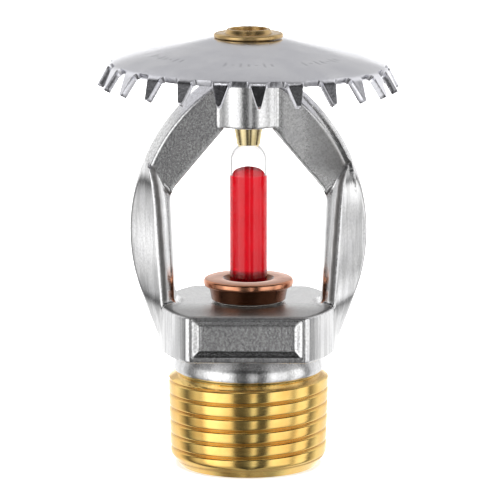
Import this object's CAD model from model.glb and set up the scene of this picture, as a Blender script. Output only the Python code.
"""Looks of the upright fire sprinkler head: cast and plated frame, bare brass thread, stamped
deflector, copper valve button, and a glass bulb of red liquid. Sizes below are in millimetres."""

import math

import bmesh
import bpy
import numpy as np
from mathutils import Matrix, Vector


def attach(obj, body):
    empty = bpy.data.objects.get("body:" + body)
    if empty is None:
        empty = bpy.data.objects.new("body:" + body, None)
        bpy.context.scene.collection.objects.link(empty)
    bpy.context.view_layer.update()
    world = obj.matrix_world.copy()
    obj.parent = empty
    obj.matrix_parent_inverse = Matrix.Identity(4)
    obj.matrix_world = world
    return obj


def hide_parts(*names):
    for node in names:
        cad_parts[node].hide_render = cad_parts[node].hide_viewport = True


MM = 0.001

# Grid that the casting is sampled on
CAST_STEP = 0.217
CAST_REACH = (16.4, 11.7)  # how far it goes in x and y from the axis
CAST_LOW = 12.1
CAST_HIGH = 57.2

# Wrench boss and the shoulder under it
BOSS_TOP = 22.1
BOSS_FLAT_Y = 11.0
BOSS_LOW = 15.85
BOSS_SIDE = (-5.7, 17.5)
SHOULDER = ((12.4, 9.45), (12.9, 9.9), (13.3, 10.0), (13.8, 9.95), (14.3, 9.8), (15.2, 9.35), (16.1, 8.9))
THREAD_TOP = 12.5
PANEL_DEPTH = 0.6
PANEL_WALL = 0.85
PANEL_HALF_WIDTH = 7.2
PANEL_LOW = 16.6
PANEL_HIGH = 21.65

# Arms
ARM_ARC = (-9.0, 31.8, 24.8)
ARM_STRAIGHT_BELOW = 23.4
WINDOW_LOW = (9.83, 24.5)
WINDOW_CORNER = (10.4, 37.15)
WINDOW_TOP = (3.0, 45.95)
ARM_FLAT_DEPTH = 2.7
RIDGE_X = ((16, 22, 28, 31.8, 35.5, 38.2, 40.5), (10.9, 11.25, 11.6, 11.85, 12.1, 12.4, 12.9))
RIDGE_Y = ((16, 22, 24, 40.5), (3.5, 3.6, 3.15, 3.05))
RIM_DEPTH = 0.75
KNUCKLE_RADIUS = 4.7
KNUCKLE_LOW = 45.95
KNUCKLE_TOP = 56.5
SCREW_BORE = 2.45
BORE_RADIUS = 5.6
ORIFICE_RADIUS = 3.9
ORIFICE_LOW = 20.0
BORE_MOUTH = 7.2

# Thread
PITCH = 25.4 / 14
THREAD_RADIUS = 10.42
THREAD_TAPER = 1 / 32
THREAD_DEPTH = 0.28
THREAD_CREST = 0.68  # share of the pitch on the flat crest
THREAD_FLANK = 0.14  # share on each flank
THREAD_ENTRY = (9.25, 1.35)  # radius at the inlet face, and the rise of the chamfer from it

# Deflector
SHEET = 0.9
SHEET_HOLE = 2.95
HUB_TOP = 57.55
HUB_RADIUS = 4.8
CONE_ANGLE = math.radians(12.5)
CONE_END = 13.9
SHALLOW_BEND = 25.0
RIM_ANGLE = math.radians(22.5)
RIM_BEND = 1.5
TINE_ANGLE = math.radians(62)
TINES = 24
TINE_FIRST = math.radians(5)
TINE_ROOT = 1.9
TINE_TIP = 0.5
RIM_RADIUS = 20.05
SHEET_TILT = 0.0144  # the photographed deflector sits 0.8 degrees low on its right
MARK_RING = 13.3
MARK_HALF_WIDTH = 0.16
MARK_PITCH = 4.4
MARK_STARTS = (-66, -12, 34, 114, 168, 214)  # degrees round from the front, one for each group
MARK_GROUP = (  # half length or radius, and kind
    (0.5, "tick"), (0.2, "dot"), (0.5, "tick"), (0.3, "tick"), (0.18, "dot"), (0.5, "tick"), (0.35, "tick"),
)
MARKS = [
    (math.radians(start - 90 + k * MARK_PITCH), size, kind)
    for start in MARK_STARTS
    for k, (size, kind) in enumerate(MARK_GROUP)
]

# Bulb and valve
BULB_RADIUS = 2.5
BULB_WALL = 0.3
BULB_FOOT_Z = 25.2
BULB_CROWN_Z = 41.15
LIQUID_TOP = 40.2
BUTTON_RADIUS = 6.0
BUTTON_TOP = 25.3
BUTTON_LOW = 21.2
SKIRT_LOW = 22.45

# Rings under the button: inner and outer radius, the low side at each, and the thickness
SPRING = (3.4, 4.6, 22.75, 22.4, 0.4)
LOWER_FILM = (4.0, 4.5, 22.2, 22.2, 0.1)
UPPER_FILM = (3.4, 4.3, 23.25, 23.25, 0.1)

# Screw and bushing
HEAD_TOP = 58.8
NOSE_TIP = 43.33
SCREW_TOP = 57.3
SHANK_RADIUS = 2.15
SHANK_ROOT = 2.05
SHANK_PITCH = 0.4
SOCKET_HALF_FLATS = 1.25
SOCKET_DEPTH = 2.5
BUSHING_LOW = 53.2
BUSHING_OUTSIDE = 2.85
FLANGE_RADIUS = 4.6


def both(a, b, radius):
    """Field of what lies inside both shapes, the edge between them rounded."""
    out = np.hypot(np.maximum(a + radius, 0), np.maximum(b + radius, 0))
    return np.minimum(np.maximum(a, b), -radius) + out


def either(a, b, radius):
    """Field of what lies inside one shape or the other, with a fillet between them."""
    into = np.hypot(np.maximum(radius - a, 0), np.maximum(radius - b, 0))
    return np.maximum(np.minimum(a, b), radius) - into


def without(a, b, radius):
    return both(a, -b, radius)


def arm_outer(x, z):
    """Distance outside the arm's outer edge, an arc that runs straight down beside the boss."""
    centre_x, centre_z, radius = ARM_ARC
    arc = np.hypot(x - centre_x, z - centre_z) - radius
    drop = ARM_STRAIGHT_BELOW - centre_z
    reach = math.sqrt(radius**2 - drop**2)
    line = ((x - centre_x - reach) * reach + (z - ARM_STRAIGHT_BELOW) * drop) / radius
    return np.where(z < ARM_STRAIGHT_BELOW, line, arc)


def arm_field(x, y, z):
    outer = arm_outer(x, z)
    centre_x, centre_z, radius = ARM_ARC
    rise = np.clip(z, ARM_STRAIGHT_BELOW, centre_z + radius - 1) - centre_z
    outer_x = centre_x + np.sqrt(radius**2 - rise**2)
    outer_x = outer_x - np.maximum(ARM_STRAIGHT_BELOW - z, 0) * 0.36

    # Lower limb: a steep inner facet, a narrow ridge and one wide facet out to the rim
    inner_slope = (WINDOW_CORNER[0] - WINDOW_LOW[0]) / (WINDOW_CORNER[1] - WINDOW_LOW[1])
    inner_x = WINDOW_LOW[0] + (z - WINDOW_LOW[1]) * inner_slope
    ridge_x = np.interp(z, *RIDGE_X)
    ridge_y = np.interp(z, *RIDGE_Y)
    near = (y - (ridge_y - 0.1 - 0.62 * (ridge_x - 0.6 - x))) / math.hypot(1, 0.62)
    inner = (y - (ridge_y - 0.4 - 1.12 * (ridge_x - 1.0 - x))) / math.hypot(1, 1.12)
    lower = both(y - ridge_y, near, 0.1)
    lower = both(lower, inner, 0.15)
    fall = (ridge_y - RIM_DEPTH - 0.1) / np.maximum(outer_x - 0.42 - ridge_x, 0.5)
    face = (y - (ridge_y - fall * (x - ridge_x - 0.27))) / np.hypot(1, fall)
    lower = both(lower, face, 0.1)

    # Upper limb: a flat face with a steep bevel along its outer edge
    steep = 1.9
    bevel = (y - RIM_DEPTH + steep * (outer + 0.12)) / math.hypot(1, steep)
    upper = both(y - ARM_FLAT_DEPTH, bevel, 0.16)

    # The limbs meet on a slanted line from the window's corner out through the ridge's upper end
    line = (x - WINDOW_CORNER[0]) * 0.801 - (z - WINDOW_CORNER[1]) * 0.598
    below = np.clip(line / 0.3 + 0.5, 0, 1)
    depth = lower * below + upper * (1 - below)

    run_x, run_z = WINDOW_TOP[0] - WINDOW_CORNER[0], WINDOW_TOP[1] - WINDOW_CORNER[1]
    length = math.hypot(run_x, run_z)
    slant = -((x - WINDOW_CORNER[0]) * run_z - (z - WINDOW_CORNER[1]) * run_x) / length
    window = either(inner_x - x, slant, 0.9)
    arm = both(depth, window, 0.3)
    arm = both(arm, outer, 0.25)
    return both(arm, BOSS_LOW + 0.1 - z, 0.15)


def boss_field(x, y, z):
    r = np.hypot(x, y)
    centre_x, radius = BOSS_SIDE
    side = np.hypot(x - centre_x, y) - radius
    outline = both(y - BOSS_FLAT_Y, side, 0.4)
    boss = both(outline, z - BOSS_TOP, 0.5)
    boss = both(boss, BOSS_LOW - z, 0.28)
    slope = PANEL_WALL / PANEL_DEPTH
    inset = (BOSS_FLAT_Y - y) * slope
    floor = BOSS_FLAT_Y - PANEL_DEPTH - y
    wide = (x - PANEL_HALF_WIDTH + inset) / math.hypot(1, slope)
    high = (z - PANEL_HIGH + inset) / math.hypot(1, slope)
    low = (PANEL_LOW - z + inset) / math.hypot(1, slope)
    tray = both(np.maximum(wide, np.maximum(high, low)), floor, 0.12)
    boss = without(boss, tray, 0.12)
    heights, radii = zip(*SHOULDER)
    shoulder = (r - np.interp(z, heights, radii)) * 0.85
    return np.minimum(boss, np.maximum(shoulder, z - 17))


def casting_field(x, y, z):
    """Below zero inside the casting, for x and y at or above zero: its four quarters are alike."""
    r = np.hypot(x, y)
    knuckle = both(r - KNUCKLE_RADIUS, KNUCKLE_LOW - z, 0.3)
    knuckle = both(knuckle, z - KNUCKLE_TOP, 0.25)
    limb = either(arm_field(x, y, z), knuckle, 0.3)
    fillet = np.clip((11.3 - x) / 1.2, 0, 1) * 0.6 + 0.25
    body = either(boss_field(x, y, z), limb, fillet)
    body = without(body, np.maximum(r - SCREW_BORE, 40 - z), 0.12)
    bore = np.where(z > ORIFICE_LOW, ORIFICE_RADIUS, BORE_RADIUS)
    body = without(body, np.maximum(r - bore, z - 30), 0.15)
    return np.maximum(body, THREAD_TOP - 0.1 - z)


def surface_of(field, low, step):
    """Vertices and quads where a sampled field crosses zero, one vertex in each crossed cell."""
    inside = field < 0
    corners = [(i, j, k) for i in (0, 1) for j in (0, 1) for k in (0, 1)]
    nx, ny, nz = (n - 1 for n in field.shape)
    count = sum(inside[i : i + nx, j : j + ny, k : k + nz].astype(np.int8) for i, j, k in corners)
    cells = np.argwhere((count > 0) & (count < 8))
    value = {c: field[tuple((cells + c).T)] for c in corners}
    total = np.zeros((len(cells), 3))
    hits = np.zeros(len(cells))
    for a in corners:
        for axis in range(3):
            if a[axis]:
                continue
            b = tuple(v + (n == axis) for n, v in enumerate(a))
            crossed = (value[a] < 0) != (value[b] < 0)
            share = value[a] / np.where(crossed, value[a] - value[b], 1)
            point = np.array(a, float) + share[:, None] * (np.array(b) - np.array(a))
            total += np.where(crossed[:, None], point, 0)
            hits += crossed
    verts = np.array(low) + (cells + total / hits[:, None]) * step
    number = np.full((nx, ny, nz), -1, np.int64)
    number[tuple(cells.T)] = np.arange(len(cells))
    quads = []
    for axis in range(3):
        u, v = (axis + 1) % 3, (axis + 2) % 3
        span = [slice(1, n) for n in (nx, ny, nz)]
        span[axis] = slice(0, (nx, ny, nz)[axis])
        ahead = list(span)
        ahead[axis] = slice(1, (nx, ny, nz)[axis] + 1)
        first, second = inside[tuple(span)], inside[tuple(ahead)]
        at = np.argwhere(first != second) + [s.start for s in span]
        back_u, back_v = np.eye(3, dtype=int)[u], np.eye(3, dtype=int)[v]
        ring = [number[tuple((at - d).T)] for d in (back_u + back_v, back_v, 0 * back_u, back_u)]
        quad = np.stack(ring, axis=1)
        leaving = inside[tuple(at.T)]
        quad[~leaving] = quad[~leaving][:, ::-1]
        quads.append(quad)
    return verts, np.concatenate(quads)


def settle(verts, field, times=3, reach=0.02):
    """Moves points onto a field's zero surface, and gives the surface's normals there."""
    def value(p):
        return field(np.abs(p[:, 0]), np.abs(p[:, 1]), p[:, 2])

    def slope(p):
        parts = [value(p + reach * axis) - value(p - reach * axis) for axis in np.eye(3)]
        return np.stack(parts, axis=1) / (2 * reach)

    for _ in range(times):
        gradient = slope(verts)
        size = np.maximum((gradient**2).sum(axis=1), 0.2)
        move = np.clip(value(verts) / size, -0.08, 0.08)
        verts = verts - move[:, None] * gradient
    gradient = slope(verts)
    normals = gradient / np.maximum(np.linalg.norm(gradient, axis=1), 1e-6)[:, None]
    return verts, normals, value


def mesh_object(name, verts, faces, material, smooth_angle=180):
    mesh = bpy.data.meshes.new(name)
    mesh.from_pydata((np.asarray(verts) * MM).tolist(), [], [tuple(f) for f in faces])
    mesh.validate()
    mesh.shade_smooth()
    if smooth_angle < 180:
        mesh.set_sharp_from_angle(angle=math.radians(smooth_angle))
    mesh.materials.append(material)
    obj = bpy.data.objects.new(name, mesh)
    bpy.context.scene.collection.objects.link(obj)
    return obj


def facing_out(obj):
    bm = bmesh.new()
    bm.from_mesh(obj.data)
    bmesh.ops.recalc_face_normals(bm, faces=bm.faces)
    bm.to_mesh(obj.data)
    bm.free()
    return obj


def point_values(obj, name, values):
    layer = obj.data.attributes.new(name, "FLOAT", "POINT")
    layer.data.foreach_set("value", np.asarray(values, np.float32))


def rounded(outline, radii, ring=False, steps=4):
    """The (r, z) outline with its corners rounded. radii is one number for all, or one each."""
    count = len(outline)
    if not hasattr(radii, "__len__"):
        radii = [radii] * count
    points = []
    for i, corner in enumerate(outline):
        radius = radii[i]
        if radius <= 0 or (not ring and i in (0, count - 1)):
            points.append(corner)
            continue
        here = Vector(corner)
        before = Vector(outline[i - 1]) - here
        after = Vector(outline[(i + 1) % count]) - here
        angle = before.angle(after)
        back = radius / math.tan(angle / 2)
        back = min(back, before.length * 0.49, after.length * 0.49)
        size = back * math.tan(angle / 2)
        start, end = here + before.normalized() * back, here + after.normalized() * back
        halfway = (before.normalized() + after.normalized()).normalized()
        middle = here + halfway * (size / math.sin(angle / 2))
        first = math.atan2(*(start - middle).yx)
        turn = math.atan2(*(end - middle).yx) - first
        turn = (turn + math.pi) % math.tau - math.pi
        for k in range(steps + 1):
            a = first + turn * k / steps
            points.append((middle.x + size * math.cos(a), middle.y + size * math.sin(a)))
    return points


def arc(centre, radius, start, end, steps):
    angles = [math.radians(start + (end - start) * i / steps) for i in range(steps + 1)]
    return [(centre[0] + radius * math.cos(a), centre[1] + radius * math.sin(a)) for a in angles]


def turned(name, outline, material, ring=False, steps=128, smooth_angle=40):
    """A solid of revolution. An open outline starts and ends on the axis."""
    verts, faces, rows = [], [], []
    for r, z in outline:
        if r < 1e-6:
            rows.append([len(verts)] * steps)
            verts.append((0, 0, z))
            continue
        rows.append(list(range(len(verts), len(verts) + steps)))
        for k in range(steps):
            a = math.tau * k / steps
            verts.append((r * math.cos(a), r * math.sin(a), z))
    pairs = list(zip(rows, rows[1:])) + ([(rows[-1], rows[0])] if ring else [])
    for lower, upper in pairs:
        for k in range(steps):
            j = (k + 1) % steps
            face = [lower[k], lower[j], upper[j], upper[k]]
            face = [v for n, v in enumerate(face) if v != face[n - 1]]
            faces.append(face)
    return facing_out(mesh_object(name, verts, faces, material, smooth_angle))


# Materials


class Nodes:
    """Short names for making a material's nodes and links."""

    def __init__(self, name):
        self.material = bpy.data.materials.new(name)
        self.material.use_nodes = True
        self.tree = self.material.node_tree
        self.shader = self.tree.nodes["Principled BSDF"]
        self.place = self.add("ShaderNodeTexCoord").outputs["Object"]

    def add(self, kind, **settings):
        node = self.tree.nodes.new(kind)
        for key, value in settings.items():
            setattr(node, key, value)
        return node

    def link(self, start, end):
        self.tree.links.new(start, end)

    def noise(self, per_mm, detail=3.0, stretch=(1, 1, 1), rough=0.55):
        scale = self.add("ShaderNodeMapping")
        scale.inputs["Scale"].default_value = [1000 * per_mm * s for s in stretch]
        self.link(self.place, scale.inputs["Vector"])
        noise = self.add("ShaderNodeTexNoise")
        noise.inputs["Scale"].default_value = 1.0
        noise.inputs["Detail"].default_value = detail
        noise.inputs["Roughness"].default_value = rough
        self.link(scale.outputs["Vector"], noise.inputs["Vector"])
        return noise.outputs["Fac"]

    def remap(self, value, low, high, to_low, to_high):
        node = self.add("ShaderNodeMapRange")
        ends = {"From Min": low, "From Max": high, "To Min": to_low, "To Max": to_high}
        for name, number in ends.items():
            node.inputs[name].default_value = number
        self.link(value, node.inputs["Value"])
        return node.outputs["Result"]

    def math(self, operation, a, b):
        node = self.add("ShaderNodeMath", operation=operation)
        for slot, value in zip(node.inputs, (a, b)):
            if isinstance(value, (int, float)):
                slot.default_value = value
            else:
                self.link(value, slot)
        return node.outputs["Value"]

    def mix(self, factor, first, second):
        node = self.add("ShaderNodeMix", data_type="RGBA")
        for index, value in ((0, factor), (6, first), (7, second)):
            slot = node.inputs[index]
            if isinstance(value, tuple):
                slot.default_value = (*value, 1)
            elif isinstance(value, (int, float)):
                slot.default_value = value
            else:
                self.link(value, slot)
        return node.outputs[2]

    def attribute(self, name):
        return self.add("ShaderNodeAttribute", attribute_name=name).outputs["Fac"]

    def bump(self, heights, distance_mm):
        node = self.add("ShaderNodeBump")
        node.inputs["Strength"].default_value = 1.0
        node.inputs["Distance"].default_value = distance_mm * MM
        self.link(heights, node.inputs["Height"])
        self.link(node.outputs["Normal"], self.shader.inputs["Normal"])

    def colour(self, value):
        self.link(value, self.shader.inputs["Base Color"])

    def roughness(self, value):
        self.link(value, self.shader.inputs["Roughness"])

    def set(self, **numbers):
        for key, value in numbers.items():
            self.shader.inputs[key.replace("_", " ")].default_value = value


def plated_casting():
    """Satin chrome over cast brass. Attribute cast is 1 on as-cast faces and 0 on machined ones,
    and cavity rises towards 1 in the corners and along the limbs' ridges, where dirt gathers."""
    n = Nodes("plated_casting")
    n.set(Metallic=1.0)
    cast, cavity = n.attribute("cast"), n.attribute("cavity")
    grain, cloud = n.noise(3.4, 3.0, rough=0.7), n.noise(0.35, 3.0)
    drawn = n.noise(1.1, 3.0, (1, 1, 0.07))
    smooth = n.math("SUBTRACT", 1.1, cast)
    tone = n.mix(n.remap(cloud, 0.35, 0.65, 0, 1), (0.83, 0.83, 0.84), (0.91, 0.91, 0.91))
    pits = n.math("MULTIPLY", n.remap(grain, 0.38, 0.6, 0.45, 0.0), cast)
    tone = n.mix(pits, tone, (0.36, 0.355, 0.35))
    streaks = n.math("MULTIPLY", n.remap(drawn, 0.42, 0.54, 0.45, 0.0), smooth)
    tone = n.mix(streaks, tone, (0.4, 0.4, 0.4))
    tone = n.mix(n.math("MULTIPLY", cavity, 0.8), tone, (0.16, 0.15, 0.145))
    n.colour(tone)
    rough = n.math("ADD", n.remap(grain, 0.3, 0.7, 0.0, 0.06), n.remap(cast, 0, 1, 0.12, 0.2))
    n.roughness(n.math("ADD", rough, n.math("MULTIPLY", cavity, 0.3)))
    height = n.math("ADD", n.math("MULTIPLY", grain, cast), n.math("MULTIPLY", drawn, smooth))
    n.bump(height, 0.02)
    return n.material


def bare_brass():
    """Turned brass of the thread, with fine tool marks round it and darker roots."""
    n = Nodes("bare_brass")
    n.set(Metallic=1.0)
    root = n.attribute("root")
    streak, cloud = n.noise(0.5, 4.0, (1, 1, 14)), n.noise(0.3, 3.0)
    tone = n.mix(n.remap(cloud, 0.35, 0.65, 0, 1), (0.97, 0.59, 0.165), (1.0, 0.72, 0.24))
    tone = n.mix(n.math("MULTIPLY", root, 0.5), tone, (0.5, 0.26, 0.07))
    n.colour(tone)
    n.roughness(n.math("ADD", n.remap(streak, 0.3, 0.7, 0.12, 0.2), n.math("MULTIPLY", root, 0.15)))
    n.bump(streak, 0.004)
    return n.material


def satin_sheet():
    """Satin chrome on the stamped sheet. Attribute mark is 1 in the stamped marks."""
    n = Nodes("satin_sheet")
    n.set(Metallic=1.0)
    mark = n.attribute("mark")
    cloud, grain = n.noise(0.25, 3.0), n.noise(2.5, 2.0)
    tone = n.mix(n.remap(cloud, 0.35, 0.65, 0, 1), (0.76, 0.76, 0.81), (0.84, 0.84, 0.88))
    tone = n.mix(n.math("MULTIPLY", mark, 0.3), tone, (0.25, 0.25, 0.27))
    n.colour(tone)
    n.roughness(n.remap(grain, 0.3, 0.7, 0.17, 0.25))
    n.bump(n.math("ADD", grain, n.math("MULTIPLY", cloud, 2.0)), 0.02)
    return n.material


def dull_brass():
    n = Nodes("dull_brass")
    n.set(Metallic=1.0)
    streak, cloud = n.noise(0.6, 4.0, (1, 1, 8)), n.noise(0.5, 4.0)
    tone = n.mix(n.remap(cloud, 0.35, 0.65, 0, 1), (0.5, 0.33, 0.14), (0.76, 0.54, 0.25))
    n.colour(tone)
    n.roughness(n.remap(cloud, 0.3, 0.7, 0.22, 0.4))
    n.bump(streak, 0.015)
    return n.material


def screw_brass():
    n = Nodes("screw_brass")
    n.set(Metallic=1.0)
    streak, cloud = n.noise(0.6, 4.0, (1, 1, 10)), n.noise(0.5, 3.0)
    n.colour(n.mix(n.remap(cloud, 0.35, 0.65, 0, 1), (0.82, 0.66, 0.34), (0.9, 0.77, 0.46)))
    n.roughness(n.remap(streak, 0.3, 0.7, 0.14, 0.26))
    n.bump(streak, 0.01)
    return n.material


def copper():
    """Bright on top, browned in the cup and below the rim, where attribute soot rises to 1."""
    n = Nodes("copper")
    n.set(Metallic=1.0)
    streak, cloud = n.noise(0.5, 4.0, (1, 1, 8)), n.noise(0.45, 4.0)
    tone = n.mix(n.remap(cloud, 0.35, 0.65, 0, 1), (0.6, 0.23, 0.12), (0.78, 0.37, 0.22))
    n.colour(n.mix(n.attribute("soot"), tone, (0.13, 0.045, 0.02)))
    n.roughness(n.remap(streak, 0.3, 0.7, 0.12, 0.26))
    n.bump(streak, 0.012)
    return n.material


def spring_alloy():
    n = Nodes("spring_alloy")
    n.set(Metallic=1.0)
    streak, cloud = n.noise(0.7, 4.0, (1, 1, 6)), n.noise(0.4, 3.0)
    n.colour(n.mix(n.remap(cloud, 0.35, 0.65, 0, 1), (0.14, 0.09, 0.06), (0.22, 0.15, 0.1)))
    n.roughness(n.remap(streak, 0.3, 0.7, 0.22, 0.38))
    n.bump(streak, 0.01)
    return n.material


def seal_film():
    n = Nodes("seal_film")
    cloud = n.noise(0.8, 3.0)
    n.colour(n.mix(n.remap(cloud, 0.35, 0.65, 0, 1), (0.72, 0.7, 0.64), (0.82, 0.8, 0.76)))
    n.roughness(n.remap(cloud, 0.3, 0.7, 0.4, 0.55))
    n.bump(cloud, 0.01)
    return n.material


def clear_glass():
    n = Nodes("clear_glass")
    n.set(Transmission_Weight=1.0, IOR=1.47)
    n.shader.inputs["Base Color"].default_value = (0.93, 0.92, 0.92, 1)
    haze = n.noise(0.8, 3.0)
    n.roughness(n.remap(haze, 0.4, 0.7, 0.0, 0.03))
    return n.material


def red_liquid():
    n = Nodes("red_liquid")
    n.set(IOR=1.02, Transmission_Weight=0.5)
    cloud = n.noise(0.4, 2.0)
    n.colour(n.mix(n.remap(cloud, 0.3, 0.7, 0, 1), (0.58, 0.004, 0.012), (0.66, 0.007, 0.018)))
    n.roughness(n.remap(cloud, 0.3, 0.7, 0.05, 0.12))
    return n.material


# Pieces


def place(obj, body, node):
    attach(obj, body)
    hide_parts(node)
    return obj


def sampled_casting():
    """The casting as one quarter's field, mirrored to all four."""
    step = CAST_STEP
    spans = (*CAST_REACH, CAST_HIGH - CAST_LOW)
    counts = [math.ceil(span / step) for span in spans]
    xs = (np.arange(counts[0]) + 0.5) * step
    ys = (np.arange(counts[1]) + 0.5) * step
    zs = CAST_LOW + (np.arange(counts[2]) + 0.37) * step
    quarter = casting_field(*np.meshgrid(xs, ys, zs, indexing="ij"))
    half = np.concatenate((quarter[::-1], quarter))
    whole = np.concatenate((half[:, ::-1], half), axis=1)
    return surface_of(whole, (-xs[-1], -ys[-1], zs[0]), step)


def cavities(verts, normals, value, ledge):
    """1 where dirt gathers: closed-in places, the ledge's front and beside the limbs' ridges."""
    open_at = np.minimum(value(verts + normals * 0.7) / 0.7, value(verts + normals * 1.8) / 1.8)
    grime = np.clip(0.75 - open_at, 0, 1) * np.where(verts[:, 2] < BOSS_LOW + 0.1, 0.35, 1)
    worn = 0.55 * np.clip((-1 - verts[:, 1]) / 6, 0, 1)
    grime = np.where(ledge, np.maximum(grime, worn), grime)
    x, y, z = np.abs(verts[:, 0]), np.abs(verts[:, 1]), verts[:, 2]
    off_ridge = np.abs(x - np.interp(z, *RIDGE_X) + 0.28)
    crease = np.clip(2 - off_ridge / 0.22, 0, 1) * (y > np.interp(z, *RIDGE_Y) - 0.6)
    crease = crease * np.clip((z - BOSS_TOP - 0.3) / 0.5, 0, 1) * np.clip((41 - z) / 0.5, 0, 1)
    return np.maximum(grime, crease)


def cast_share(verts, normals, ledge):
    """1 where the surface is as cast, down to 0 where it was machined before plating."""
    r = np.hypot(verts[:, 0], verts[:, 1])
    x, y, z = np.abs(verts[:, 0]), np.abs(verts[:, 1]), verts[:, 2]
    machined = (z < BOSS_TOP + 0.1) & (normals[:, 2] > 0.9)
    machined |= (z < BOSS_TOP) & (normals[:, 1] ** 2 > 0.98) & (y > BOSS_FLAT_Y - 0.12)
    machined |= (r < SCREW_BORE + 0.2) | (z < BOSS_LOW + 0.1)
    cast = np.where(machined, 0.0, 1.0)
    cast = np.where((r < KNUCKLE_RADIUS + 0.1) & (z > KNUCKLE_LOW), 0.7, cast)
    beside = (z < 41) & (np.abs(normals[:, 1]) < 0.93) & (x > 8)
    cast = np.where(beside, 0.3, cast)
    cast = np.where(ledge, 1.0, cast)
    cast = np.where((z < BOSS_LOW + 0.1) & (r < 10.3), 0.6, cast)
    in_panel = (y < BOSS_FLAT_Y - 0.3) & (y > BOSS_FLAT_Y - 0.8) & (x < 7) & (z < BOSS_TOP)
    return np.where(in_panel, 1.0, cast)


def frame_casting(material):
    verts, quads = sampled_casting()
    verts, normals, value = settle(verts, casting_field)
    # The right arm's front face falls back towards its outer edge, as on the photographed head
    out = np.clip((verts[:, 0] - 4.6) / 8, 0, 1.2) * np.clip((verts[:, 2] - 37) / 4, 0, 1)
    verts[:, 1] += np.where(verts[:, 1] < -1.5, 0.5 * out + 0.35 * out**2, 0)
    obj = mesh_object("frame_casting", verts, quads, material)
    z = verts[:, 2]
    ledge = (z > BOSS_TOP - 0.45) & (z < BOSS_TOP + 0.3) & (normals[:, 2] > 0.6)
    point_values(obj, "cavity", cavities(verts, normals, value, ledge))
    point_values(obj, "cast", cast_share(verts, normals, ledge))
    return place(obj, "root", "frame")


def thread_height(share):
    """0 at the root and 1 at the crest, rounded at both. share is 0 in the crest's middle."""
    share = (share - THREAD_CREST / 2) % 1
    away = min(share, 1 - share)
    slope = (away - THREAD_CREST / 2) / THREAD_FLANK
    soft = 0.14
    slope = min(max(slope, -soft), 1 + soft)
    if slope < soft:
        return 1 - (slope + soft) ** 2 / (4 * soft)
    if slope > 1 - soft:
        return (1 + soft - slope) ** 2 / (4 * soft)
    return 1 - slope


def thread_radius(z, level):
    """The tapered thread, chamfered at the inlet face and run out under the shoulder."""
    entry_radius, entry_rise = THREAD_ENTRY
    top_radius = THREAD_RADIUS + THREAD_TAPER * THREAD_TOP
    radius = THREAD_RADIUS + THREAD_TAPER * z - THREAD_DEPTH * (1 - level)
    run_out = top_radius - 0.1 - 1.15 * max(0.0, 1 - (THREAD_TOP - z) / 0.5)
    return min(radius, entry_radius + z / entry_rise, run_out)


def inlet_thread(material):
    """The bare brass thread with the bore through it. Rows follow the helix."""
    steps = 168
    turns = math.ceil(THREAD_TOP / PITCH) + 4
    valley = 1 - THREAD_CREST - 2 * THREAD_FLANK
    spans = (
        (0, THREAD_CREST, 5),
        (THREAD_CREST, THREAD_FLANK, 4),
        (THREAD_CREST + THREAD_FLANK, valley, 3),
        (1 - THREAD_FLANK, THREAD_FLANK, 4),
    )
    shares = [
        start + length * (i + 0.5) / points for start, length, points in spans for i in range(points)
    ]

    columns = []
    roots = []
    verts = []
    number = {}
    faces = []
    count = turns * len(shares)
    for i in range(steps):
        angle = math.tau * i / steps
        column = []
        for row in range(count):
            turn, share = divmod(row, len(shares))
            z = (turn - 2 + shares[share] + i / steps) * PITCH
            clipped = min(max(z, 0.0), THREAD_TOP)
            key = (i, round(clipped, 5))
            if z != clipped and key in number:
                column.append(number[key])
                continue
            level = thread_height((clipped / PITCH - i / steps) % 1)
            radius = thread_radius(clipped, level)
            number[key] = len(verts)
            column.append(len(verts))
            verts.append((radius * math.cos(angle), radius * math.sin(angle), clipped))
            roots.append(1 - level)
        columns.append(column)
    shift = len(shares)
    for i in range(steps):
        after = columns[(i + 1) % steps]
        if i == steps - 1:
            after = after[shift:] + [after[-1]] * shift
        for k in range(count - 1):
            face = [columns[i][k], after[k], after[k + 1], columns[i][k + 1]]
            face = [v for n, v in enumerate(face) if v != face[n - 1]]
            if len(set(face)) >= 3:
                faces.append(face)

    def band(low, high):
        for i in range(steps):
            j = (i + 1) % steps
            faces.append((low[i], low[j], high[j], high[i]))

    before = [column[0] for column in columns]
    bore = (
        (BORE_MOUTH + 0.15, 0), (BORE_MOUTH, 0.15), (BORE_MOUTH, 4),
        (BORE_RADIUS, 12), (BORE_RADIUS, THREAD_TOP),
    )
    for r, z in bore:
        ring = list(range(len(verts), len(verts) + steps))
        for i in range(steps):
            a = math.tau * i / steps
            verts.append((r * math.cos(a), r * math.sin(a), z))
            roots.append(0.2)
        band(before, ring)
        before = ring
    band(before, [column[-1] for column in columns])
    obj = facing_out(mesh_object("inlet_thread", verts, faces, material))
    obj.data.set_sharp_from_angle(angle=math.radians(50))
    point_values(obj, "root", roots)
    return place(obj, "root", "frame")


def sheet_profile():
    """(radius, z) down the deflector's upper side from its hub to the tines' roots, evenly close."""
    points = [(HUB_RADIUS, HUB_TOP)]
    drop = (CONE_END - HUB_RADIUS) * math.tan(CONE_ANGLE)
    for i in range(1, 31):
        points.append((HUB_RADIUS + (CONE_END - HUB_RADIUS) * i / 30, HUB_TOP - drop * i / 30))
    for bend, start, end, steps in (
        (SHALLOW_BEND, CONE_ANGLE, RIM_ANGLE, 18),
        (RIM_BEND, RIM_ANGLE, TINE_ANGLE, 10),
    ):
        from_r, from_z = points[-1]
        for i in range(1, steps + 1):
            a = start + (end - start) * i / steps
            r = from_r + bend * (math.sin(a) - math.sin(start))
            points.append((r, from_z - bend * (math.cos(start) - math.cos(a))))
    return points


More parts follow.
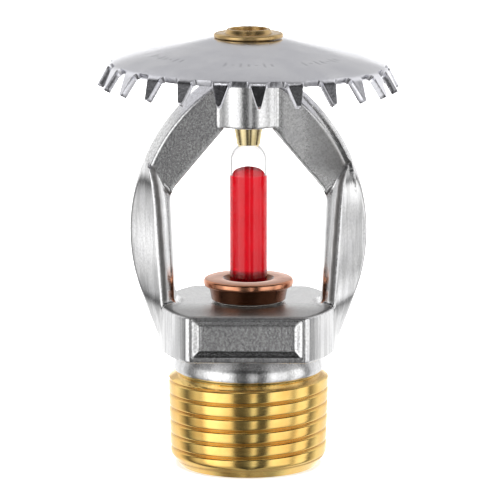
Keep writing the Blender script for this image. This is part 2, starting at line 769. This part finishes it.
def stamped(angle, r):
    """Depth share of the stamped marks at a place on the cone: plain ticks and dots on a ring."""
    depth = 0.0
    for middle, size, kind in MARKS:
        across = ((angle - middle + math.pi) % math.tau - math.pi) * r
        along = r - MARK_RING
        if kind == "dot":
            away = math.hypot(across, along) - size
        else:
            away = math.hypot(across, max(abs(along) - size, 0)) - MARK_HALF_WIDTH
        depth = max(depth, min(max(0.5 - away / MARK_HALF_WIDTH, 0), 1))
    return depth


def tine_sections(profile, root):
    """(radius, z, width) down a tine from its root, wider at the root and narrow at the tip."""
    last_r, last_z = profile[-1]
    tip_z = last_z - (RIM_RADIUS - last_r) * math.tan(TINE_ANGLE)
    line = profile[root + 1 :]
    for i in range(1, 13):
        line.append((last_r + (RIM_RADIUS - last_r) * i / 12, last_z + (tip_z - last_z) * i / 12))
    sections = []
    for i, (r, z) in enumerate(line):
        taper = max(i - 5, 0) / (len(line) - 6)
        width = TINE_ROOT + (TINE_TIP - TINE_ROOT) * taper
        if i == len(line) - 1:
            width *= 0.55
        if i < 3:
            width += 0.2 * (1 - (i + 1) / 3) ** 2
        sections.append((r, z, width))
    return sections


def deflector_sheet(material):
    """The sheet's upper side, which the solidify modifier gives its thickness."""
    profile = sheet_profile()
    root = len(profile) - 7
    hub = [(SHEET_HOLE + (HUB_RADIUS - SHEET_HOLE) * i / 5, HUB_TOP) for i in range(5)]
    rows = hub + profile[: root + 1]
    row_radii, row_heights = zip(*rows)
    steady = len(rows) - 9  # the rows after this one follow the bays between the tines
    sections = tine_sections(profile, root)
    across_tine, across_slot = 8, 12
    half_angle = 0.5 * (TINE_ROOT + 0.2) / row_radii[-1]
    verts, faces, marks = [], [], []
    columns = []
    for tine in range(TINES):
        middle = TINE_FIRST - math.pi / 2 + math.tau * tine / TINES
        gap_from, gap_to = middle + half_angle, middle + math.tau / TINES - half_angle
        angles = []
        for i in range(across_tine + 1):
            angles.append((middle - half_angle + 2 * half_angle * i / across_tine, 0.0))
        for i in range(1, across_slot):
            share = i / across_slot
            bay = min(1.0, 1.6 * min(share, 1 - share) * across_slot / 2) * 0.3
            angles.append((gap_from + (gap_to - gap_from) * share, bay))
        for angle, bay in angles:
            column = []
            keep = row_radii[-1] - bay
            for k, (r, z) in enumerate(rows):
                if k > steady:
                    r = row_radii[steady] + (keep - row_radii[steady]) * (k - steady) / 8
                    z = float(np.interp(r, row_radii, row_heights))
                column.append(len(verts))
                mark = stamped(angle, r) if 11.5 < r < 15 else 0.0
                marks.append(mark)
                verts.append((r * math.cos(angle), r * math.sin(angle), z - 0.06 * mark))
            columns.append(column)
        edge = [c[-1] for c in columns[-len(angles) : -len(angles) + across_tine + 1]]
        side = Vector((-math.sin(middle), math.cos(middle), 0))
        for r, z, width in sections:
            centre = Vector((r * math.cos(middle), r * math.sin(middle), z))
            line = []
            for k in range(across_tine + 1):
                line.append(len(verts))
                marks.append(0.0)
                verts.append(tuple(centre + side * width * (k / across_tine - 0.5)))
            for k in range(across_tine):
                faces.append((edge[k], line[k], line[k + 1], edge[k + 1]))
            edge = line
    for i, column in enumerate(columns):
        after = columns[(i + 1) % len(columns)]
        for k in range(len(rows) - 1):
            faces.append((column[k], column[k + 1], after[k + 1], after[k]))
    verts = [(x, y, z - SHEET_TILT * x) for x, y, z in verts]
    obj = facing_out(mesh_object("deflector_sheet", verts, faces, material))
    if sum(face.normal.z for face in obj.data.polygons) < 0:
        obj.data.flip_normals()
    point_values(obj, "mark", marks)
    thick = obj.modifiers.new("thick", "SOLIDIFY")
    thick.thickness = SHEET * MM
    thick.offset = -1
    thick.use_even_offset = True
    edges = obj.modifiers.new("edges", "BEVEL")
    edges.width = 0.09 * MM
    edges.segments = 2
    edges.limit_method = "ANGLE"
    edges.angle_limit = math.radians(50)
    return place(obj, "root", "deflector")


def bushing(material):
    low, high = HUB_TOP + 0.1, HUB_TOP + 0.7
    outline = [
        (SCREW_BORE, BUSHING_LOW), (BUSHING_OUTSIDE, BUSHING_LOW), (BUSHING_OUTSIDE, low),
        (FLANGE_RADIUS, low), (FLANGE_RADIUS, high - 0.08), (FLANGE_RADIUS - 0.3, high),
        (3.2, high), (BUSHING_OUTSIDE, HEAD_TOP - 0.02), (SCREW_BORE, HEAD_TOP),
    ]
    radii = [0.05, 0.05, 0, 0.16, 0.2, 0.3, 0.12, 0.16, 0.12]
    obj = turned("bushing_turned", rounded(outline, radii, ring=True), material, ring=True)
    return place(obj, "root", "deflector_bushing")


def socket_radius(angle):
    """Distance to the wall of the hexagon socket in a direction."""
    off_flat = (angle + math.pi / 6) % (math.pi / 3) - math.pi / 6
    return SOCKET_HALF_FLATS / math.cos(off_flat)


def screw(material):
    """Shank with a fine thread, a socket in the top, and a coned nose with a cup for the bulb."""
    outline = [
        (0, NOSE_TIP + 0.85), (1.47, NOSE_TIP), (1.55, NOSE_TIP),
        (1.95, KNUCKLE_LOW - 0.1), (SHANK_ROOT, KNUCKLE_LOW + 0.3),
    ]
    outline = rounded(outline, [0, 0.04, 0.06, 0.12, 0])
    z = KNUCKLE_LOW + 0.5
    while z < SCREW_TOP - 0.45:
        outline += [(SHANK_ROOT, z), (SHANK_RADIUS, z + 0.12)]
        outline += [(SHANK_RADIUS, z + 0.2), (SHANK_ROOT, z + 0.32)]
        z += SHANK_PITCH
    outline += [(1.95, SCREW_TOP - 0.15), (1.85, SCREW_TOP), (1.55, SCREW_TOP)]
    steps = 96
    obj = turned("screw_turned", outline, material, steps=steps)
    bm = bmesh.new()
    bm.from_mesh(obj.data)
    ring = list({v for e in bm.edges if e.is_boundary for v in e.verts})
    ring.sort(key=lambda v: math.atan2(v.co.y, v.co.x) % math.tau)
    angles = [math.atan2(v.co.y, v.co.x) for v in ring]
    before = ring
    for z, widened in ((SCREW_TOP - 0.05, 1.03), (SCREW_TOP - SOCKET_DEPTH, 1)):
        loop = []
        for a in angles:
            r = socket_radius(a) * widened
            loop.append(bm.verts.new((r * math.cos(a) * MM, r * math.sin(a) * MM, z * MM)))
        for k in range(steps):
            j = (k + 1) % steps
            bm.faces.new((before[k], before[j], loop[j], loop[k]))
        before = loop
    bm.faces.new(before)
    bmesh.ops.recalc_face_normals(bm, faces=bm.faces)
    bm.to_mesh(obj.data)
    bm.free()
    obj.data.shade_smooth()
    obj.data.set_sharp_from_angle(angle=math.radians(35))
    return place(obj, "screw", "compression_screw")


def button(material):
    cup = arc((0, BULB_FOOT_Z), BULB_RADIUS + 0.3, -90, -10, 18)
    rest = [
        cup[-1], (3.4, BUTTON_TOP), (BUTTON_RADIUS, BUTTON_TOP), (BUTTON_RADIUS, 24.25),
        (5.3, 24.25), (4.95, SKIRT_LOW), (4.7, SKIRT_LOW), (4.7, SKIRT_LOW + 1),
        (3.1, SKIRT_LOW + 1), (3.1, BUTTON_LOW), (0, BUTTON_LOW),
    ]
    radii = [0, 0.15, 0.35, 0.45, 0.15, 0.08, 0.05, 0.1, 0.05, 0.25, 0]
    obj = turned("button_turned", cup[:-1] + rounded(rest, radii), material)
    place(obj, "valve", "valve_button")
    soot = []
    for vert in obj.data.vertices:
        r, z = math.hypot(vert.co.x, vert.co.y) / MM, vert.co.z / MM
        in_cup = r < 3.45 and z < BUTTON_TOP + 0.01
        soot.append(1.0 if in_cup else max(0.0, min(0.8, (24.45 - z) / 0.3)))
    point_values(obj, "soot", soot)
    return obj


def valve_ring(name, node, material, size):
    inner, outer, inner_low, outer_low, thickness = size
    under = [(inner, inner_low), (outer, outer_low)]
    outline = under + [(r, z + thickness) for r, z in reversed(under)]
    obj = turned(name, rounded(outline, thickness * 0.3, ring=True), material, ring=True, steps=96)
    return place(obj, "valve", node)


def bulb(glass, liquid):
    """Glass with a cavity for the gas bubble. The liquid stands in the solid part, which bends light
    as the real wall and liquid do together."""
    inner = BULB_RADIUS - BULB_WALL
    outside = arc((0, BULB_FOOT_Z), BULB_RADIUS, -90, 0, 24)
    outside += arc((0, BULB_CROWN_Z), BULB_RADIUS, 0, 90, 24)
    shell = turned("bulb_shell", outside, glass, steps=192)
    meniscus = []
    for a in np.linspace(0, math.pi / 2, 12):
        meniscus.append((inner * math.sin(a), LIQUID_TOP - 1.0 + 1.1 * math.cos(a)))
    cavity = meniscus + arc((0, BULB_CROWN_Z), inner, 0, 90, 18)
    inside = turned("bulb_cavity", cavity, glass, steps=192)
    inside.data.flip_normals()
    bm = bmesh.new()
    bm.from_mesh(shell.data)
    bm.from_mesh(inside.data)
    bm.to_mesh(shell.data)
    bm.free()
    bpy.data.objects.remove(inside)
    shell.data.shade_smooth()
    foot = arc((0, BULB_FOOT_Z), inner, -90, 0, 18)
    body = foot + [(r, z + 0.04) for r, z in reversed(meniscus)]
    fill = turned("bulb_fill", body, liquid, steps=192, smooth_angle=60)
    shell.visible_glossy = fill.visible_glossy = False
    place(shell, "bulb", "bulb_glass")
    return place(fill, "bulb", "bulb_liquid")


# Studio


# Brightness of the surroundings by azimuth in degrees, 0 where the camera is and positive to its
# right. The dark gaps give the casting its dark lines.
ROUND_LEVELS = [
    (-180, 1.2), (-128, 1.2), (-118, 0.12), (-99, 0.12), (-90, 0.55), (-80, 1.0), (-70, 0.95),
    (-62, 2.3), (-50, 2.1), (-30, 1.7), (-24, 1.3), (-19, 0.12), (-13, 0.16), (-8, 0.1), (-2, 0.2),
    (3, 0.32), (7, 1.25), (11, 1.25), (14, 0.12), (27, 0.09), (33, 1.5), (40, 1.8), (54, 1.5),
    (62, 1.4), (70, 0.6), (78, 1.6), (93, 1.6), (101, 0.12), (118, 0.12), (128, 1.2), (180, 1.2),
]
# Its change with elevation in degrees, on the camera's side, straight behind and behind at the sides
FRONT_RISE = [
    (-90, 0.3), (-50, 0.35), (-20, 0.9), (0, 1.0), (20, 1.0),
    (34, 0.1), (50, 0.02), (60, 0.02), (75, 1.2), (90, 1.2),
]
BACK_RISE = [
    (-90, 1.0), (-5, 1.8), (6, 1.7), (12, 0.78), (27, 0.72),
    (42, 0.72), (56, 0.66), (70, 0.3), (90, 0.05),
]
BACK_SIDE_RISE = [(-90, 1.2), (0, 1.3), (48, 1.25), (60, 0.5), (90, 0.05)]
BEHIND = [(0, 0), (148, 0), (166, 1), (180, 1)]
BACK_SHARE = [(0, 0), (100, 0), (122, 1), (180, 1)]


def floor():
    bm = bmesh.new()
    bmesh.ops.create_circle(bm, cap_ends=True, radius=4.0, segments=64)
    mesh = bpy.data.meshes.new("floor")
    bm.to_mesh(mesh)
    bm.free()
    obj = bpy.data.objects.new("floor", mesh)
    bpy.context.scene.collection.objects.link(obj)
    n = Nodes("floor_white")
    n.shader.inputs["Base Color"].default_value = (0.92, 0.92, 0.92, 1)
    n.set(Roughness=0.9)
    n.shader.inputs["Specular IOR Level"].default_value = 0.0
    n.shader.inputs["Emission Color"].default_value = (1, 1, 1, 1)
    n.shader.inputs["Emission Strength"].default_value = 0.6
    mesh.materials.append(n.material)
    obj.visible_glossy = False


def surroundings():
    """Bright panels and dark gaps round the head, which its metal reflects. The camera sees white."""
    world = bpy.data.worlds.new("studio")
    bpy.context.scene.world = world
    world.use_nodes = True
    tree = world.node_tree
    tree.nodes.clear()

    def add(kind, **settings):
        node = tree.nodes.new(kind)
        for key, value in settings.items():
            setattr(node, key, value)
        return node

    def op(operation, a, b=0.0):
        node = add("ShaderNodeMath", operation=operation)
        for slot, value in zip(node.inputs, (a, b)):
            if isinstance(value, (int, float)):
                slot.default_value = value
            else:
                tree.links.new(value, slot)
        return node.outputs[0]

    def ramp(value, stops):
        """Piecewise straight function of an angle in degrees."""
        node = add("ShaderNodeFloatCurve")
        low, high = stops[0][0], stops[-1][0]
        top = max(level for _, level in stops)
        curve = node.mapping.curves[0]
        spots = [((at - low) / (high - low), level / top) for at, level in stops]
        curve.points[0].location, curve.points[1].location = spots[0], spots[-1]
        for spot in spots[1:-1]:
            curve.points.new(*spot)
        for point in curve.points:
            point.handle_type = "VECTOR"
        node.mapping.update()
        share = op("DIVIDE", op("SUBTRACT", value, low), high - low)
        tree.links.new(share, node.inputs["Value"])
        return op("MULTIPLY", node.outputs[0], top)

    direction = add("ShaderNodeTexCoord").outputs["Generated"]
    parts = add("ShaderNodeSeparateXYZ")
    tree.links.new(direction, parts.inputs[0])
    x, y, z = parts.outputs
    azimuth = op("MULTIPLY", op("ARCTAN2", x, op("MULTIPLY", y, -1)), 180 / math.pi)
    elevation = op("MULTIPLY", op("ARCSINE", z), 180 / math.pi)
    round_about = ramp(azimuth, ROUND_LEVELS)
    rise_front = ramp(elevation, FRONT_RISE)
    behind = ramp(op("ABSOLUTE", azimuth), BEHIND)
    rise_centre = op("MULTIPLY", ramp(elevation, BACK_RISE), behind)
    rise_side = op("MULTIPLY", ramp(elevation, BACK_SIDE_RISE), op("SUBTRACT", 1, behind))
    rise_back = op("ADD", rise_centre, rise_side)
    back_share = ramp(op("ABSOLUTE", azimuth), BACK_SHARE)
    front = op("MULTIPLY", round_about, op("MULTIPLY", rise_front, op("SUBTRACT", 1, back_share)))
    back = op("MULTIPLY", rise_back, back_share)
    level = op("ADD", front, back)
    glow = add("ShaderNodeBackground")
    tree.links.new(level, glow.inputs["Strength"])
    plain = add("ShaderNodeBackground")
    plain.inputs["Strength"].default_value = 1.0
    path = add("ShaderNodeLightPath")
    mixed = add("ShaderNodeMixShader")
    tree.links.new(path.outputs["Is Camera Ray"], mixed.inputs[0])
    tree.links.new(glow.outputs[0], mixed.inputs[1])
    tree.links.new(plain.outputs[0], mixed.inputs[2])
    out = add("ShaderNodeOutputWorld")
    tree.links.new(mixed.outputs[0], out.inputs[0])


def top_fill():
    data = bpy.data.lights.new("top_fill", "AREA")
    data.shape = "DISK"
    data.size = 1.2
    data.energy = 42
    obj = bpy.data.objects.new("top_fill", data)
    obj.location = (0, 0.1, 1.2)
    obj.visible_glossy = False
    bpy.context.scene.collection.objects.link(obj)


def camera():
    """The photo's view: a long lens from a little to the right, looking down at the head."""
    distance, height = 0.480, 0.1185
    yaw, pitch = math.radians(1.1), math.radians(10.56)
    data = bpy.data.cameras.new("camera")
    data.sensor_width = 36
    data.lens = 263.16
    data.clip_start, data.clip_end = 0.05, 20
    data.shift_x = 0.003
    obj = bpy.data.objects.new("camera", data)
    obj.location = (distance * math.sin(yaw), -distance * math.cos(yaw), height)
    obj.rotation_euler = (math.pi / 2 - pitch, 0, yaw)
    bpy.context.scene.collection.objects.link(obj)
    bpy.context.scene.camera = obj


def build():
    frame_casting(plated_casting())
    inlet_thread(bare_brass())
    deflector_sheet(satin_sheet())
    bushing(dull_brass())
    screw(screw_brass())
    button(copper())
    alloy, film = spring_alloy(), seal_film()
    valve_ring("spring_disc", "disc_spring", alloy, SPRING)
    valve_ring("seal_film_low", "lower_seal_film", film, LOWER_FILM)
    valve_ring("seal_film_high", "upper_seal_film", film, UPPER_FILM)
    bulb(clear_glass(), red_liquid())


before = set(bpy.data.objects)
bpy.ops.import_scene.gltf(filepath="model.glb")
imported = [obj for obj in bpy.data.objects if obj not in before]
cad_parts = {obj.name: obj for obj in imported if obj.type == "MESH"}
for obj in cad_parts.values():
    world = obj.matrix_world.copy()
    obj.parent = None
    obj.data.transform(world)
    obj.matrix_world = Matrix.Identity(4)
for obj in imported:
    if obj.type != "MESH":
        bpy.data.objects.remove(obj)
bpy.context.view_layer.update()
bpy.context.scene.view_settings.view_transform = "Standard"
build()
floor()
surroundings()
top_fill()
camera()
